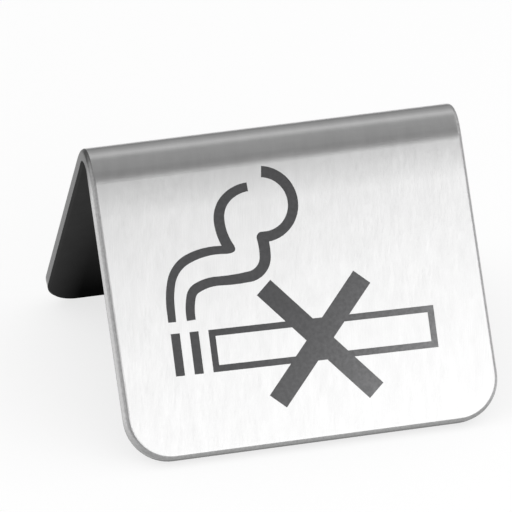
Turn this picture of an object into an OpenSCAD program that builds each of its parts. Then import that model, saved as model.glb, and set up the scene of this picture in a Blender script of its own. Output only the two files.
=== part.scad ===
// Table-top no smoking sign: one strip of brushed sheet steel, bent into a tent that stands on its
// two foot edges, with a no smoking symbol etched into the front leg and filled with dark enamel.
// X runs along the bend, the symbol faces -Y, and Z is up from the table.

/* [Sheet] */
// Width of the strip, along the bend
sheet_w = 52; // [46:0.5:60]
// Thickness of the sheet
sheet_t = 2.3; // [1.6:0.1:3]
// Flat length of each leg, from the end of the bend to the foot edge
leg_len = 39.3; // [38:0.1:46]
// Lean of each leg from upright
leg_lean = 34; // [26:0.5:42]
// Inside radius of the bend
bend_r = 2; // [1:0.1:5]

/* [Corners and edges] */
// Radius of the front leg's two foot corners
front_corner_r = 6.1; // [3:0.1:8]
// Radius of the back leg's two foot corners
back_corner_r = 4.8; // [3:0.1:8]
// Rolled edge round the outer face
outer_edge_r = 0.5; // [0.1:0.05:0.8]
// Flat that breaks the sheared edge round the inner face
inner_edge = 0.3; // [0.1:0.05:0.5]

/* [Etching] */
// Depth that the symbol is etched into the face
etch_depth = 0.2; // [0.1:0.05:0.5]
// How far the enamel lies below the face
fill_drop = 0.04; // [0.02:0.01:0.08]

/* [Place of the symbol] */
// Middle of the cigarette, to the right of the middle of the strip
symbol_x = 2.65; // [-2:0.05:4]
// Clear face from the foot edge up to the symbol
foot_margin = 4.9; // [3:0.1:6]
// Clear face from the symbol up to the bend
head_margin = 1.5; // [0.5:0.1:4]
// Slight turn of the whole symbol on the face
symbol_turn = -1; // [-3:0.5:3]

/* [Cigarette and ash] */
// Length of the cigarette
cigarette_l = 31.4; // [26:0.1:32]
// Height of the cigarette
cigarette_h = 5.75; // [4.5:0.05:7]
// Width of the line that draws it
cigarette_line = 0.9; // [0.6:0.05:1.2]
// Width of each bar of ash
ash_w = 1.25; // [0.8:0.05:1.6]
// Gap before each bar of ash
ash_gap = 1.35; // [1.2:0.05:1.8]

/* [Cross] */
// Length of each arm, end to end
cross_l = 20.7; // [17:0.1:21]
// Width of each arm
cross_w = 2.85; // [2:0.05:3.5]
// Slope of the arms from the cigarette
cross_slope = 48.5; // [40:0.5:52]
// Middle of the cross, from the middle of the cigarette
cross_x = -0.5; // [-2:0.1:2]

/* [Smoke] */
// Gap between the ash and the smoke
smoke_gap = 1.55; // [1.2:0.05:2.2]
// Radius of the blunt tip at the neck of the left stroke
smoke_tip_r = 0.5; // [0.4:0.05:0.7]

/* [Hidden] */
$fn = 96;

// The cutter for the etching stands proud of the face by this much
cut_over = 1;
// A curved stroke has a corner each time that it has turned this far
stroke_step = 5;
// A round cap on a stroke has a corner each time that it has turned this far
cap_step = 15;

// Each half of the bend turns the sheet from level at the top to the lean of a leg, and is drawn on
// past the top by a spare turn and then cut off square, so that the two halves meet face to face
half_turn = 90 - leg_lean;
spare_turn = 5;

// The sign stands on the lower corners of its broken edges, this far above its sharp corners
foot_lift = inner_edge * sin(leg_lean);
// Height of the centre that the sheet is bent round
bend_z = leg_len * cos(leg_lean) - bend_r * sin(leg_lean) - foot_lift;

// The symbol is drawn in a box that reaches this far below and above the middle of the cigarette,
// and then sized so that the box fills the leg between its two margins
art_below = 8.7;
art_above = 24.2;
symbol_size = (leg_len - foot_margin - head_margin) / (art_below + art_above);
symbol_up = foot_margin + art_below * symbol_size;

// The left smoke rises from the first bar of ash, and the right smoke from the second
ash_1_x = -cigarette_l / 2 - 2 * ash_gap - 1.5 * ash_w;
ash_2_x = -cigarette_l / 2 - ash_gap - 0.5 * ash_w;
smoke_y = cigarette_h / 2 + smoke_gap;

// Strokes of smoke: where each starts from the foot of its smoke, with its heading and width, and
// then its moves, each an arc's length, its turn and the stroke's width at the arc's end
left_rise_start = [-0.2, 0, 88.5, 1.1];
left_rise = [
    [1.85, 1, 1.15], [3.6, -17, 1.15], [4.05, -50.5, 1.25],
    [5.5, -30, 1.1], [0.8, 24.5, 2 * smoke_tip_r]
];
left_curl_start = [12.48, 17.11, 182.8, 1.2];
left_curl = [[3.07, 33.5, 1.3], [3.66, 52.7, 1.5], [4.22, 30.9, 1.5]];
right_rise_start = [-0.15, 0, 93.5, 1.25];
right_rise = [
    [3.2, -21, 1.3], [1.45, -46.75, 1.35], [3.25, -28.5, 1.25],
    [4.35, 9, 1.45], [3.7, 77, 1.55], [2.67, 16, 1.57]
];
right_curl_start = [11, 10.13, -0.5, 1.44];
right_curl = [[0.45, 0, 1.45], [2.95, 38.5, 1.4], [4.7, 61, 1.45], [5.7, 73, 1.55]];

// The station a share of the way along a move: its place, heading and width
function station(at, move, share) =
    let (
        turned = move[1] * share,
        run = move[0] * share,
        chord = turned == 0 ? run : run * sin(turned / 2) / (turned * PI / 360),
        way = at[2] + turned / 2
    )
    [
        at[0] + chord * cos(way),
        at[1] + chord * sin(way),
        at[2] + turned,
        at[3] + (move[2] - at[3]) * share
    ];

// All the stations of a stroke, one move after another
function stations(at, moves, i = 0) =
    i == len(moves)
    ? [at]
    : let (count = ceil(abs(moves[i][1]) / stroke_step) + 1)
      concat(
          [for (k = [0 : count - 1]) station(at, moves[i], k / count)],
          stations(station(at, moves[i], 1), moves, i + 1)
      );

// The point on a stroke's edge, to the left of a station for side 1 and to the right for side -1
function edge_point(at, side) =
    [at[0] - side * sin(at[2]) * at[3] / 2, at[1] + side * cos(at[2]) * at[3] / 2];

// The points of a round cap on the end of a stroke, from its left edge to its right
function cap_points(at) = [
    for (turn = [90 - cap_step : -cap_step : cap_step - 90])
        [at[0] + at[3] / 2 * cos(at[2] + turn), at[1] + at[3] / 2 * sin(at[2] + turn)]
];

module stroke(start, moves, round_end = false) {
    path = stations(start, moves);
    last = len(path) - 1;
    polygon(concat(
        [for (at = path) edge_point(at, 1)],
        round_end ? cap_points(path[last]) : [],
        [for (i = [0 : last]) edge_point(path[last - i], -1)]
    ));
}

// The left smoke rises to a blunt round tip, and its curl springs from there
module left_smoke() {
    translate([ash_1_x, smoke_y]) {
        stroke(left_rise_start, left_rise, round_end = true);
        stroke(left_curl_start, left_curl);
    }
}

// The right smoke turns a round corner into its curl
module right_smoke() {
    translate([ash_2_x, smoke_y]) {
        stroke(right_rise_start, right_rise, round_end = true);
        stroke(right_curl_start, right_curl);
    }
}

module ash() {
    for (x = [ash_1_x, ash_2_x]) {
        translate([x, 0]) square([ash_w, cigarette_h], center = true);
    }
}

module crossed_cigarette() {
    difference() {
        square([cigarette_l, cigarette_h], center = true);
        square([cigarette_l - 2 * cigarette_line, cigarette_h - 2 * cigarette_line], center = true);
    }
    translate([cross_x, 0]) {
        for (side = [-1, 1]) rotate(side * cross_slope) square([cross_l, cross_w], center = true);
    }
}

module symbol() {
    left_smoke();
    right_smoke();
    ash();
    crossed_cigarette();
}

// The symbol as a plate on the front leg, from the floor of the etching up by a height
module symbol_plate(height) {
    on_front_leg()
        translate([symbol_x, symbol_up, sheet_t - etch_depth])
            rotate(symbol_turn)
                linear_extrude(height) scale(symbol_size) symbol();
}

// Section of the sheet at an edge: x runs out to the edge, y from the inner to the outer face
module edge_section(reach) {
    polygon([
        [0, 0], [reach - inner_edge, 0], [reach, inner_edge], [reach, sheet_t - outer_edge_r],
        [reach - outer_edge_r, sheet_t], [0, sheet_t]
    ]);
    translate([reach - outer_edge_r, sheet_t - outer_edge_r]) circle(outer_edge_r);
}

// Section right across the strip
module strip_section() {
    edge_section(sheet_w / 2);
    mirror([1, 0]) edge_section(sheet_w / 2);
}

// One leg as a flat piece: x across, y up from the foot edge, z from the inner to the outer face
module flat_leg(corner_r) {
    corner_x = sheet_w / 2 - corner_r;
    translate([0, leg_len, 0]) rotate([90, 0, 0]) linear_extrude(leg_len - corner_r) strip_section();
    translate([0, corner_r, 0]) {
        rotate([90, 0, -90]) linear_extrude(2 * corner_x, center = true) edge_section(corner_r);
        translate([-corner_x, 0, 0]) rotate(180) rotate_extrude(angle = 90) edge_section(corner_r);
        translate([corner_x, 0, 0]) rotate(270) rotate_extrude(angle = 90) edge_section(corner_r);
    }
}

// The strip carried on from the top of a flat leg and round the bend, a little past the middle
module half_bend() {
    translate([0, leg_len, -bend_r])
        rotate([0, -90, 0])
            rotate_extrude(angle = half_turn + spare_turn)
                translate([bend_r, 0])
                    rotate(-90) strip_section();
}

// Takes a flat leg from its own frame to its place at the front of the tent
module on_front_leg() {
    translate([0, 0, bend_z])
        rotate([90 - leg_lean, 0, 0])
            translate([0, -leg_len, bend_r])
                children();
}

// The front half of the tent, cut off square at the middle of the bend
module half_tent(corner_r) {
    reach = leg_len + bend_r + sheet_t;
    intersection() {
        on_front_leg() {
            flat_leg(corner_r);
            half_bend();
        }
        translate([-sheet_w, -reach, -reach]) cube([2 * sheet_w, reach, 3 * reach]);
    }
}

module folded_sheet() {
    color("silver")
        difference() {
            union() {
                half_tent(front_corner_r);
                mirror([0, 1, 0]) half_tent(back_corner_r);
            }
            symbol_plate(etch_depth + cut_over);
        }
}

module symbol_infill() {
    color("dimgray") symbol_plate(etch_depth - fill_drop);
}

folded_sheet();
symbol_infill();
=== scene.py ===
import bpy
import bmesh
from math import cos, degrees, pi, radians, sin
from mathutils import Euler, Matrix, Vector


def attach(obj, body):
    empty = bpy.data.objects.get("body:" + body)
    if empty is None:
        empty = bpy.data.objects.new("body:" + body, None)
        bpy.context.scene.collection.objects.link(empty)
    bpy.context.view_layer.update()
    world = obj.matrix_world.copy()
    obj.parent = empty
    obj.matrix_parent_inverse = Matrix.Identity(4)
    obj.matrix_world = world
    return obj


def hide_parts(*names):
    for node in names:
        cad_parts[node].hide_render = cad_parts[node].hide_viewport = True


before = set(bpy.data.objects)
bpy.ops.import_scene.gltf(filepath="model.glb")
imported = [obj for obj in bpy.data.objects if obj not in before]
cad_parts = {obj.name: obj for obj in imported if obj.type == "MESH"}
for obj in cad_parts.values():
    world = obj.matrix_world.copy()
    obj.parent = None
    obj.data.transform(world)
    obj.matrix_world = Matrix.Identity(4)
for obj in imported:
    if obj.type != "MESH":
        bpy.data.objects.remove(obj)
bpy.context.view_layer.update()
mm = 0.001


def hexColour(text):
    # sRGB hex to the linear values that the shaders want
    channels = [int(text[i:i + 2], 16) / 255 for i in (1, 3, 5)]
    linear = [c / 12.92 if c <= 0.04045 else ((c + 0.055) / 1.055) ** 2.4 for c in channels]
    return (*linear, 1)


def addNode(material, kind, settings=None, links=None):
    # settings are the node's own options or its sockets' values, links its sockets' sources
    node = material.node_tree.nodes.new(kind)
    for name, value in (settings or {}).items():
        if isinstance(name, str) and hasattr(node, name):
            setattr(node, name, value)
        else:
            node.inputs[name].default_value = value
    for name, source in (links or {}).items():
        material.node_tree.links.new(source, node.inputs[name])
    return node


def newMaterial(name):
    material = bpy.data.materials.new(name)
    material.use_nodes = True
    material.node_tree.nodes.clear()
    return material


def finishMaterial(material, shader):
    addNode(material, "ShaderNodeOutputMaterial", links={"Surface": shader.outputs[0]})


# ---- camera
cameraSettings = {
    "lens": 567.18,          # mm on a 36 mm sensor, so the view is nearly parallel
    "place": (-0.25702, -0.93241, 0.5394),
    "turn": (61.5809, -0.1111, -15.2403),
}

camera = bpy.data.objects.new("camera", bpy.data.cameras.new("camera"))
camera.data.lens = cameraSettings["lens"]
camera.data.sensor_width = 36
camera.data.clip_start = 0.05
camera.data.clip_end = 20
camera.location = cameraSettings["place"]
camera.rotation_euler = Euler([radians(a) for a in cameraSettings["turn"]], "XYZ")
bpy.context.scene.collection.objects.link(camera)
bpy.context.scene.camera = camera
bpy.context.scene.view_settings.view_transform = "Standard"
print("camera set")


# ---- the folded sheet
sheet = {
    "width": 52 * mm,
    "thick": 2.3 * mm,
    "leg": 39.3 * mm,        # flat length, foot edge to bend
    "lean": 34,              # degrees from upright
    "bendInside": 2 * mm,
    "frontCorner": 6.1 * mm,
    "backCorner": 4.8 * mm,
    "outerEdge": 0.7 * mm,
    "innerEdge": 0.3 * mm,
    "crownOutside": 3.9 * mm,     # the bend is a tight crown that eases into the legs
    "shoulderOutside": 11 * mm,
    "shoulderTurn": 13,           # degrees that each shoulder takes
    "thinning": 0.35 * mm,        # the sheet draws thinner in the crown, from the inside
    "sheared": 1.9 * mm,          # the shears cut this far from the outer face, and then the sheet tore
    "cutsInCrown": 48,
    "cutsInShoulder": 10,
}
lean = radians(sheet["lean"])
legTurn = pi / 2 - lean
shoulderTurn = radians(sheet["shoulderTurn"])
crownTurn = legTurn - shoulderTurn
footLift = sheet["innerEdge"] * sin(lean)
bendHeight = sheet["leg"] * cos(lean) - sheet["bendInside"] * sin(lean) - footLift
outsideRadius = sheet["bendInside"] + sheet["thick"]
# the crown's centre sits where its shoulders bring the legs into the same planes
ease = sheet["shoulderOutside"] - sheet["crownOutside"]
crownHeight = bendHeight + (outsideRadius - sheet["shoulderOutside"] + ease * cos(shoulderTurn)) / cos(legTurn)
crownLength = crownTurn * sheet["crownOutside"]
shoulderLength = shoulderTurn * sheet["shoulderOutside"]


def bentPoint(along, out):
    # along runs over the outer face from the top of the bend, out is the height above that face
    side = -1 if along < 0 else 1
    run = abs(along)
    drawn = min(max((crownLength + shoulderLength - run) / crownLength, 0), 1)
    out *= 1 - sheet["thinning"] / sheet["thick"] * drawn * drawn * (3 - 2 * drawn)
    if run <= crownLength:
        turn = run / sheet["crownOutside"]
        radius, y, z = sheet["crownOutside"], 0, crownHeight
    else:
        y = -ease * sin(crownTurn)
        z = crownHeight - ease * cos(crownTurn)
        radius = sheet["shoulderOutside"]
        turn = min(crownTurn + (run - crownLength) / radius, legTurn)
    y += (radius + out) * sin(turn)
    z += (radius + out) * cos(turn)
    rest = max(run - crownLength - shoulderLength, 0)
    return side * (y + rest * cos(turn)), z - rest * sin(turn)


# developed half length, from the top of the bend to the foot edge, over the outer face
shoulderY = -ease * sin(crownTurn) + sheet["shoulderOutside"] * sin(legTurn)
shoulderZ = crownHeight - ease * cos(crownTurn) + sheet["shoulderOutside"] * cos(legTurn)
footCornerZ = bendHeight + outsideRadius * cos(legTurn) - sheet["leg"] * cos(lean)
halfLength = crownLength + shoulderLength + (shoulderZ - footCornerZ) / cos(lean)


def buildFoldedPlate():
    # the flat blank: cut corners, rolled outer edge, broken inner edge, then bent
    bm = bmesh.new()
    bmesh.ops.create_cube(bm, size=1)
    bmesh.ops.scale(bm, vec=(sheet["width"], 2 * halfLength, sheet["thick"]), verts=bm.verts)
    bmesh.ops.translate(bm, vec=(0, 0, -sheet["thick"] / 2), verts=bm.verts)
    for end, radius in ((-1, sheet["frontCorner"]), (1, sheet["backCorner"])):
        upright = [e for e in bm.edges
                   if abs(e.verts[0].co.z - e.verts[1].co.z) > sheet["thick"] / 2 and e.verts[0].co.y * end > 0]
        bmesh.ops.bevel(bm, geom=upright, offset=radius, offset_type="OFFSET", affect="EDGES",
                        segments=16, profile=0.5, material=-1)
    for level, radius, steps in ((0, sheet["outerEdge"], 6), (-sheet["thick"], sheet["innerEdge"], 1)):
        rim = [e for e in bm.edges if all(abs(v.co.z - level) < 1e-7 for v in e.verts)]
        bmesh.ops.bevel(bm, geom=rim, offset=radius, offset_type="OFFSET", affect="EDGES",
                        segments=steps, profile=0.5, material=-1)
    bmesh.ops.bisect_plane(bm, geom=bm.verts[:] + bm.edges[:] + bm.faces[:], dist=1e-8,
                           plane_co=(0, 0, -sheet["sheared"]), plane_no=(0, 0, 1))
    # cuts across the blank where it will bend
    steps = []
    for k in range(-sheet["cutsInCrown"] // 2, sheet["cutsInCrown"] // 2 + 1):
        steps.append(2 * k * crownLength / sheet["cutsInCrown"])
    for k in range(1, sheet["cutsInShoulder"] + 1):
        for side in (-1, 1):
            steps.append(side * (crownLength + k * shoulderLength / sheet["cutsInShoulder"]))
    for place in steps:
        bmesh.ops.bisect_plane(bm, geom=bm.verts[:] + bm.edges[:] + bm.faces[:], dist=1e-8,
                               plane_co=(0, place, 0), plane_no=(0, 1, 0))
    # brushed outer face, cut edge with the roll above it, and dull torn edge and inner face
    bm.normal_update()
    for face in bm.faces:
        torn = face.calc_center_median().z < -sheet["sheared"]
        face.material_index = 2 if torn else 0 if face.normal.z > 0.95 else 1
    for v in bm.verts:
        y, z = bentPoint(v.co.y, v.co.z)
        v.co = Vector((v.co.x, y, z))
    bmesh.ops.recalc_face_normals(bm, faces=bm.faces)
    return bm


def meshObject(name, bm):
    mesh = bpy.data.meshes.new(name)
    bm.to_mesh(mesh)
    bm.free()
    piece = bpy.data.objects.new(name, mesh)
    bpy.context.scene.collection.objects.link(piece)
    return piece


foldedPlate = meshObject("foldedPlate", buildFoldedPlate())
for finish in ("brushed", "edge", "mill"):
    foldedPlate.data.materials.append(None)
faceOut = Vector((0, -cos(lean), sin(lean)))
print("folded plate built,", len(foldedPlate.data.polygons), "faces")


# ---- the etched recess, cut with the symbol's own solid moved out through the face
recess = {"depth": 0.12 * mm, "fillDrop": 0.04 * mm, "etchDepth": 0.2 * mm}


def cutRecess(plate, infill):
    bm = bmesh.new()
    bm.from_mesh(infill.data)
    bmesh.ops.remove_doubles(bm, verts=bm.verts, dist=1e-7)
    bmesh.ops.translate(bm, vec=faceOut * (recess["etchDepth"] - recess["depth"]), verts=bm.verts)
    cutter = meshObject("cutter", bm)
    cut = plate.modifiers.new("etching", "BOOLEAN")
    cut.operation = "DIFFERENCE"
    cut.solver = "EXACT"
    cut.object = cutter
    bpy.context.view_layer.update()
    done = bpy.data.meshes.new_from_object(plate.evaluated_get(bpy.context.evaluated_depsgraph_get()))
    plate.modifiers.clear()
    plate.data = done
    bpy.data.objects.remove(cutter)


cutRecess(foldedPlate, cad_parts["symbol_infill"])
print("etching cut,", len(foldedPlate.data.polygons), "faces")


# ---- finishes
def brushedSteel():
    # stainless sheet, belt-brushed down the slope: bright, with light spread across the lines
    material = newMaterial("brushedStainless")
    place = addNode(material, "ShaderNodeTexCoord")
    # brush lines 0.12 mm wide and 2.2 mm long, coarser than real grit so that they show, and a little askew
    fine = addNode(material, "ShaderNodeMapping",
                   {"vector_type": "TEXTURE", "Rotation": (0, radians(10), 0), "Scale": (0.12 * mm, 2.2 * mm, 2.2 * mm)},
                   {"Vector": place.outputs["Object"]})
    lines = addNode(material, "ShaderNodeTexNoise", {"Scale": 1, "Detail": 3, "Roughness": 0.6},
                    {"Vector": fine.outputs[0]})
    # lighter and darker patches about 1.5 mm wide and 5 mm long
    broad = addNode(material, "ShaderNodeMapping",
                    {"vector_type": "TEXTURE", "Rotation": (0, radians(10), 0), "Scale": (1.5 * mm, 5 * mm, 5 * mm)},
                    {"Vector": place.outputs["Object"]})
    drift = addNode(material, "ShaderNodeTexNoise", {"Scale": 1, "Detail": 2}, {"Vector": broad.outputs[0]})
    tone = addNode(material, "ShaderNodeMapRange", {"From Min": 0.3, "From Max": 0.7, "To Min": 0.93, "To Max": 1.04},
                   {"Value": lines.outputs[0]})
    toneBroad = addNode(material, "ShaderNodeMapRange",
                        {"From Min": 0.3, "From Max": 0.7, "To Min": 0.97, "To Max": 1.02},
                        {"Value": drift.outputs[0]})
    # the press smoothed the lines where it bent the sheet
    place3 = addNode(material, "ShaderNodeSeparateXYZ", links={"Vector": place.outputs["Object"]})
    brushed = addNode(material, "ShaderNodeMapRange",
                      {"From Min": 30.5 * mm, "From Max": 32.5 * mm, "To Min": 1.0, "To Max": 0.25},
                      {"Value": place3.outputs["Z"]})
    plain = addNode(material, "ShaderNodeMix", {2: 1.0}, {0: brushed.outputs[0], 3: tone.outputs[0]})
    lineDepth = addNode(material, "ShaderNodeMath", {"operation": "MULTIPLY", 1: 0.12}, {0: brushed.outputs[0]})
    # painted shade: the colour is darkened in a band about 4 mm wide beside the bend
    beside = addNode(material, "ShaderNodeMapRange",
                     {"From Min": 28.5 * mm, "From Max": 32.5 * mm, "To Min": 1.0, "To Max": 0.77},
                     {"Value": place3.outputs["Z"]})
    both = addNode(material, "ShaderNodeMath", {"operation": "MULTIPLY"},
                   {0: plain.outputs[0], 1: toneBroad.outputs[0]})
    both = addNode(material, "ShaderNodeMath", {"operation": "MULTIPLY"},
                   {0: both.outputs[0], 1: beside.outputs[0]})
    # painted highlight: the colour is made brighter on the top of the bend
    top = addNode(material, "ShaderNodeMapRange",
                  {"From Min": 33.2 * mm, "From Max": 34.1 * mm, "To Min": 1.0, "To Max": 1.3},
                  {"Value": place3.outputs["Z"]})
    both = addNode(material, "ShaderNodeMath", {"operation": "MULTIPLY"},
                   {0: both.outputs[0], 1: top.outputs[0]})
    colour = addNode(material, "ShaderNodeMix", {"data_type": "RGBA", "blend_type": "MULTIPLY", "Factor": 1.0})
    colour.inputs[6].default_value = hexColour("#dddddd")
    material.node_tree.links.new(both.outputs[0], colour.inputs[7])
    rough = addNode(material, "ShaderNodeMapRange",
                    {"From Min": 0.3, "From Max": 0.7, "To Min": 0.30, "To Max": 0.40}, {"Value": lines.outputs[0]})
    # the face waves by a few thousandths of a millimetre, about every 1.2 mm
    patchy = addNode(material, "ShaderNodeMapping", {"Scale": (850, 420, 420)}, {"Vector": place.outputs["Object"]})
    waves = addNode(material, "ShaderNodeTexNoise", {"Scale": 1, "Detail": 2}, {"Vector": patchy.outputs[0]})
    wavy = addNode(material, "ShaderNodeBump", {"Strength": 1.0, "Distance": 0.00001}, {"Height": waves.outputs[0]})
    ridge = addNode(material, "ShaderNodeBump", {"Distance": 0.00002},
                    {"Strength": lineDepth.outputs[0], "Height": lines.outputs[0], "Normal": wavy.outputs[0]})
    across = addNode(material, "ShaderNodeTangent", {"direction_type": "RADIAL", "axis": "X"})
    shader = addNode(material, "ShaderNodeBsdfPrincipled",
                     {"Metallic": 1.0, "Anisotropic": 0.8, "Anisotropic Rotation": 0.25},
                     {"Base Color": colour.outputs[2], "Roughness": rough.outputs[0],
                      "Normal": ridge.outputs[0], "Tangent": across.outputs[0]})
    finishMaterial(material, shader)
    return material


def cutEdgeSteel():
    # the sheared edge and its roll, with painted light and shade: lighter along the front leg, at the right end and low
    # down, darker on the left edge of the back leg and the left end of the bend, and darker again at the foot
    material = newMaterial("cutEdge")
    place = addNode(material, "ShaderNodeTexCoord")
    # shear marks about 0.4 mm apart
    grain = addNode(material, "ShaderNodeTexNoise", {"Scale": 2500, "Detail": 2}, {"Vector": place.outputs["Object"]})
    tone = addNode(material, "ShaderNodeMapRange",
                   {"From Min": 0.3, "From Max": 0.7, "To Min": 0.85, "To Max": 1.05}, {"Value": grain.outputs[0]})
    depth = addNode(material, "ShaderNodeSeparateXYZ", links={"Vector": place.outputs["Object"]})
    front = addNode(material, "ShaderNodeMapRange", {"From Min": -1.5 * mm, "From Max": -4.5 * mm},
                    {"Value": depth.outputs["Y"]})
    right = addNode(material, "ShaderNodeMapRange", {"From Min": 0, "From Max": 15 * mm}, {"Value": depth.outputs["X"]})
    low = addNode(material, "ShaderNodeMapRange", {"From Min": 5 * mm, "From Max": 2 * mm},
                  {"Value": depth.outputs["Z"]})
    # painted light and shade: the edge takes the lighter tones where these masks are high and the darker #757575
    # elsewhere
    bright = addNode(material, "ShaderNodeMath", {"operation": "MAXIMUM"}, {0: front.outputs[0], 1: right.outputs[0]})
    bright = addNode(material, "ShaderNodeMath", {"operation": "MAXIMUM"}, {0: bright.outputs[0], 1: low.outputs[0]})
    # painted shade: from 6 mm down to 2 mm the edge darkens into the foot's tones
    high = addNode(material, "ShaderNodeMapRange", {"From Min": 2 * mm, "From Max": 6 * mm},
                   {"Value": depth.outputs["Z"]})
    worn = addNode(material, "ShaderNodeMix", {"data_type": "RGBA"}, {"Factor": high.outputs[0]})
    worn.inputs[7].default_value = hexColour("#d6d6d6")
    # painted shade: the edge that stands on the table is dark below the roll
    foot = addNode(material, "ShaderNodeMapRange", {"From Min": 0.75 * mm, "From Max": 1.05 * mm},
                   {"Value": depth.outputs["Z"]})
    rubbed = addNode(material, "ShaderNodeMix", {"data_type": "RGBA"}, {"Factor": foot.outputs[0]})
    rubbed.inputs[6].default_value = hexColour("#5c5c5c")
    rubbed.inputs[7].default_value = hexColour("#a2a2a2")
    material.node_tree.links.new(rubbed.outputs[2], worn.inputs[6])
    dressed = addNode(material, "ShaderNodeMix", {"data_type": "RGBA"}, {"Factor": bright.outputs[0]})
    dressed.inputs[6].default_value = hexColour("#757575")
    material.node_tree.links.new(worn.outputs[2], dressed.inputs[7])
    colour = addNode(material, "ShaderNodeMix", {"data_type": "RGBA", "blend_type": "MULTIPLY", "Factor": 1.0})
    material.node_tree.links.new(dressed.outputs[2], colour.inputs[6])
    material.node_tree.links.new(tone.outputs[0], colour.inputs[7])
    shader = addNode(material, "ShaderNodeBsdfPrincipled", {"Metallic": 1.0, "Roughness": 0.42},
                     {"Base Color": colour.outputs[2]})
    finishMaterial(material, shader)
    return material


def millSteel():
    # the inside keeps the mill's dull pickled skin, and its dark colour is partly painted shade
    material = newMaterial("millFinishAndShade")
    place = addNode(material, "ShaderNodeTexCoord")
    cloud = addNode(material, "ShaderNodeTexNoise", {"Scale": 400, "Detail": 3}, {"Vector": place.outputs["Object"]})
    rough = addNode(material, "ShaderNodeMapRange",
                    {"From Min": 0.3, "From Max": 0.7, "To Min": 0.42, "To Max": 0.52}, {"Value": cloud.outputs[0]})
    # painted shade: it is darker low down and away from the sides
    where = addNode(material, "ShaderNodeSeparateXYZ", links={"Vector": place.outputs["Object"]})
    low = addNode(material, "ShaderNodeMapRange", {"From Min": 26 * mm, "From Max": 2 * mm},
                  {"Value": where.outputs["Z"]})
    across = addNode(material, "ShaderNodeMath", {"operation": "ABSOLUTE"}, {0: where.outputs["X"]})
    inward = addNode(material, "ShaderNodeMapRange", {"From Min": 27 * mm, "From Max": 21 * mm},
                     {"Value": across.outputs[0]})
    sooty = addNode(material, "ShaderNodeMath", {"operation": "MULTIPLY"}, {0: low.outputs[0], 1: inward.outputs[0]})
    skin = addNode(material, "ShaderNodeMix", {"data_type": "RGBA"}, {"Factor": sooty.outputs[0]})
    skin.inputs[6].default_value = hexColour("#424242")
    skin.inputs[7].default_value = hexColour("#0c0c0c")
    # painted shade: the grey specular tint dims the inside's glancing reflection
    shader = addNode(material, "ShaderNodeBsdfPrincipled",
                     {"Metallic": 1.0, "Specular Tint": hexColour("#b8b8b8")},
                     {"Base Color": skin.outputs[2], "Roughness": rough.outputs[0]})
    finishMaterial(material, shader)
    return material


def darkEnamel():
    # satin enamel wiped into the etching and fired: dark grey, slightly uneven
    material = newMaterial("darkEnamel")
    place = addNode(material, "ShaderNodeTexCoord")
    # bumps about 0.5 mm across
    grain = addNode(material, "ShaderNodeTexNoise", {"Scale": 2000, "Detail": 2}, {"Vector": place.outputs["Object"]})
    tone = addNode(material, "ShaderNodeMapRange",
                   {"From Min": 0.3, "From Max": 0.7, "To Min": 0.8, "To Max": 1.2}, {"Value": grain.outputs[0]})
    # painted sheen: paler toward the lower right
    where = addNode(material, "ShaderNodeSeparateXYZ", links={"Vector": place.outputs["Object"]})
    slant = addNode(material, "ShaderNodeMath", {"operation": "SUBTRACT"},
                    {0: where.outputs["X"], 1: where.outputs["Z"]})
    share = addNode(material, "ShaderNodeMapRange", {"From Min": -30 * mm, "From Max": 8 * mm},
                    {"Value": slant.outputs[0]})
    rubbed = addNode(material, "ShaderNodeMath", {"operation": "POWER", 1: 2.0}, {0: share.outputs[0]})
    base = addNode(material, "ShaderNodeMix", {"data_type": "RGBA"}, {"Factor": rubbed.outputs[0]})
    base.inputs[6].default_value = hexColour("#2a2a2c")
    base.inputs[7].default_value = hexColour("#6c6c6d")
    colour = addNode(material, "ShaderNodeMix", {"data_type": "RGBA", "blend_type": "MULTIPLY", "Factor": 1.0})
    material.node_tree.links.new(base.outputs[2], colour.inputs[6])
    material.node_tree.links.new(tone.outputs[0], colour.inputs[7])
    bump = addNode(material, "ShaderNodeBump", {"Strength": 0.45, "Distance": 0.00002}, {"Height": grain.outputs[0]})
    shader = addNode(material, "ShaderNodeBsdfPrincipled", {"Roughness": 0.22, "IOR": 1.5},
                     {"Base Color": colour.outputs[2], "Normal": bump.outputs[0]})
    finishMaterial(material, shader)
    return material


def finishPlate(plate):
    # brushed outside, mill finish inside, cut edge between them
    plate.data.set_sharp_from_angle(angle=radians(40))
    for index, material in enumerate((brushedSteel(), cutEdgeSteel(), millSteel())):
        plate.data.materials[index] = material
    # the flat of each leg is shaded flat, and beside it the large faces set the shading of the small ones
    for face in plate.data.polygons:
        outward = Vector((0, cos(lean) * (-1 if face.center.y < 0 else 1), sin(lean)))
        face.use_smooth = abs(face.normal.dot(outward)) < 0.99999
    even = plate.modifiers.new("even", "WEIGHTED_NORMAL")
    even.mode = "FACE_AREA"
    even.weight = 100
    even.keep_sharp = True
    bpy.context.view_layer.update()
    done = bpy.data.meshes.new_from_object(plate.evaluated_get(bpy.context.evaluated_depsgraph_get()))
    plate.modifiers.clear()
    plate.data = done


finishPlate(foldedPlate)
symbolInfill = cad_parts["symbol_infill"]
enamel = darkEnamel()
for index in range(len(symbolInfill.material_slots)):
    symbolInfill.material_slots[index].material = enamel
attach(foldedPlate, "root")
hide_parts("folded_sheet")
print("finishes set")


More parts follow.
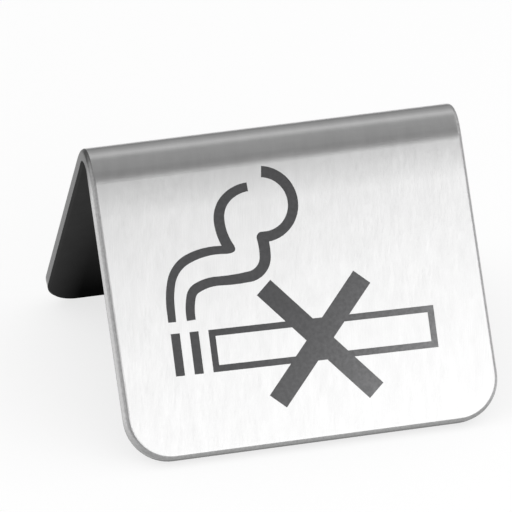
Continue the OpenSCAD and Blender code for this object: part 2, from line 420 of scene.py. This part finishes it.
# ---- floor and lights
def makeFloor():
    bm = bmesh.new()
    bmesh.ops.create_grid(bm, x_segments=1, y_segments=1, size=3)
    floor = meshObject("floor", bm)
    material = newMaterial("paleFloor")
    matt = addNode(material, "ShaderNodeBsdfPrincipled", {"Base Color": hexColour("#fafafa"), "Roughness": 0.9})
    white = addNode(material, "ShaderNodeEmission", {"Color": (1, 1, 1, 1), "Strength": 1.0})
    # seen, mirrored or looked through, the floor is nearly white, and the rest of it takes the shadow
    path = addNode(material, "ShaderNodeLightPath")
    seen = addNode(material, "ShaderNodeMath", {"operation": "ADD"},
                   {0: path.outputs["Is Camera Ray"], 1: path.outputs["Is Glossy Ray"]})
    seen = addNode(material, "ShaderNodeMath", {"operation": "ADD"},
                   {0: seen.outputs[0], 1: path.outputs["Is Transmission Ray"]})
    share = addNode(material, "ShaderNodeMath", {"operation": "MULTIPLY", 1: 0.75}, {0: seen.outputs[0]})
    shader = addNode(material, "ShaderNodeMixShader", links={0: share.outputs[0], 1: matt.outputs[0], 2: white.outputs[0]})
    finishMaterial(material, shader)
    floor.data.materials.append(material)


# toward is the azimuth from -Y to +X and the elevation, size in metres, level how bright it looks (1 is white)
lamps = {
    "frontBox": {"toward": (20, 21), "distance": 0.32, "size": (0.46, 0.24), "level": 1.54},
    "backGlow": {"toward": (180, 46), "distance": 1.2, "size": (1.6, 1.1), "level": 0.155},
    "backStrip": {"toward": (180, 62), "distance": 1.2, "size": (1.6, 0.8), "level": 0.145},
    "leftBox": {"toward": (-95, 42), "distance": 1.2, "size": (1.3, 1.1), "level": 0.8},
    "rightBox": {"toward": (100, 42), "distance": 1.2, "size": (1.3, 1.1), "level": 0.4},
}


def makeLamps():
    for name, box in lamps.items():
        lamp = bpy.data.lights.new(name, "AREA")
        lamp.shape = "RECTANGLE"
        lamp.size, lamp.size_y = box["size"]
        lamp.energy = box["level"] * pi * lamp.size * lamp.size_y
        azimuth, elevation = (radians(angle) for angle in box["toward"])
        way = Vector((sin(azimuth) * cos(elevation), -cos(azimuth) * cos(elevation), sin(elevation)))
        holder = bpy.data.objects.new(name, lamp)
        holder.location = way * box["distance"] + Vector((0, 0, 18 * mm))
        holder.rotation_euler = way.to_track_quat("Z", "Y").to_euler()
        bpy.context.scene.collection.objects.link(holder)


def makeWorld():
    world = bpy.data.worlds.new("studio")
    world.use_nodes = True
    world.node_tree.nodes.clear()
    path = addNode(world, "ShaderNodeLightPath")
    # seen or mirrored it is a dim grey room, and it fills the shadows of matt things like a pale one
    room = addNode(world, "ShaderNodeMix", {"data_type": "RGBA"}, {"Factor": path.outputs["Is Diffuse Ray"]})
    room.inputs[6].default_value = (0.24, 0.24, 0.24, 1)
    room.inputs[7].default_value = (0.66, 0.66, 0.66, 1)
    light = addNode(world, "ShaderNodeBackground", {"Strength": 1.0}, {"Color": room.outputs[2]})
    addNode(world, "ShaderNodeOutputWorld", links={"Surface": light.outputs[0]})
    bpy.context.scene.world = world


makeFloor()
makeLamps()
makeWorld()
print("floor and lights set")
